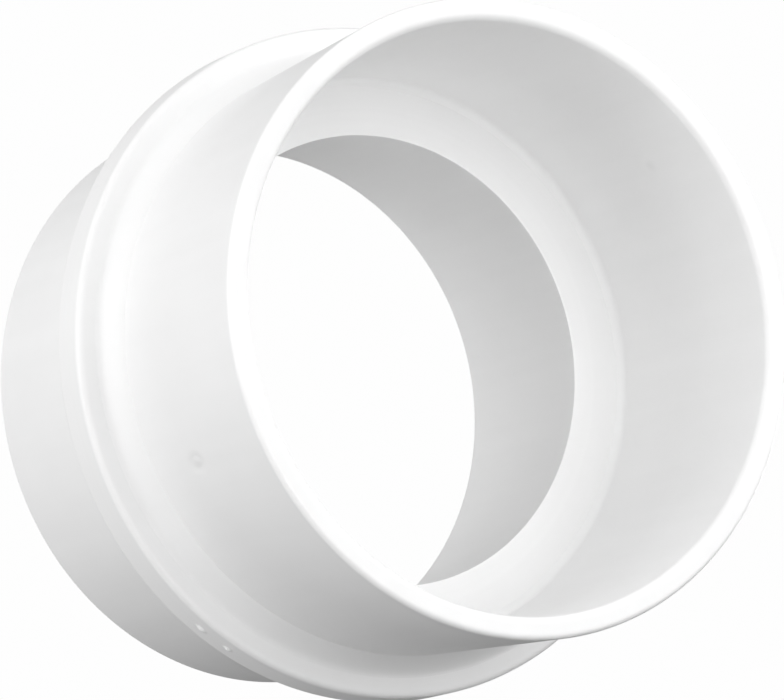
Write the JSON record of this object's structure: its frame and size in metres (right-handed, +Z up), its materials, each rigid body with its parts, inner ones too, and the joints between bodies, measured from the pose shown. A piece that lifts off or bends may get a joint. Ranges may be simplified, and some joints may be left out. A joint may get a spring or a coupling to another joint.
{
  "type": "pipe reducer",
  "caption": "White plastic pipe reducer: a wide tapered-entry socket and a smaller socket on one axis, joined by a flat ring that stands proud as a collar outside and as a stop ledge inside.",
  "frame": {"origin": "centre of the small end's face, which is the lowest face", "axes": "+Z up along the common axis of both sockets, from the small end to the mouth of the large socket"},
  "size_m": [0.1306, 0.1306, 0.1004],
  "materials": {
    "pvc_sleeve": "smooth moulded white PVC, semi-gloss",
    "pvc_plate": "smooth turned white PVC, semi-gloss",
    "pvc_bead": "smooth white cement or weld bead, semi-gloss"
  },
  "bodies": {
    "root": {"large_sleeve": "pvc_sleeve", "reducing_plate": "pvc_plate", "small_sleeve": "pvc_sleeve", "outer_bead": "pvc_bead", "inner_bead": "pvc_bead", "rear_bead": "pvc_bead"}
  },
  "joints": []
}
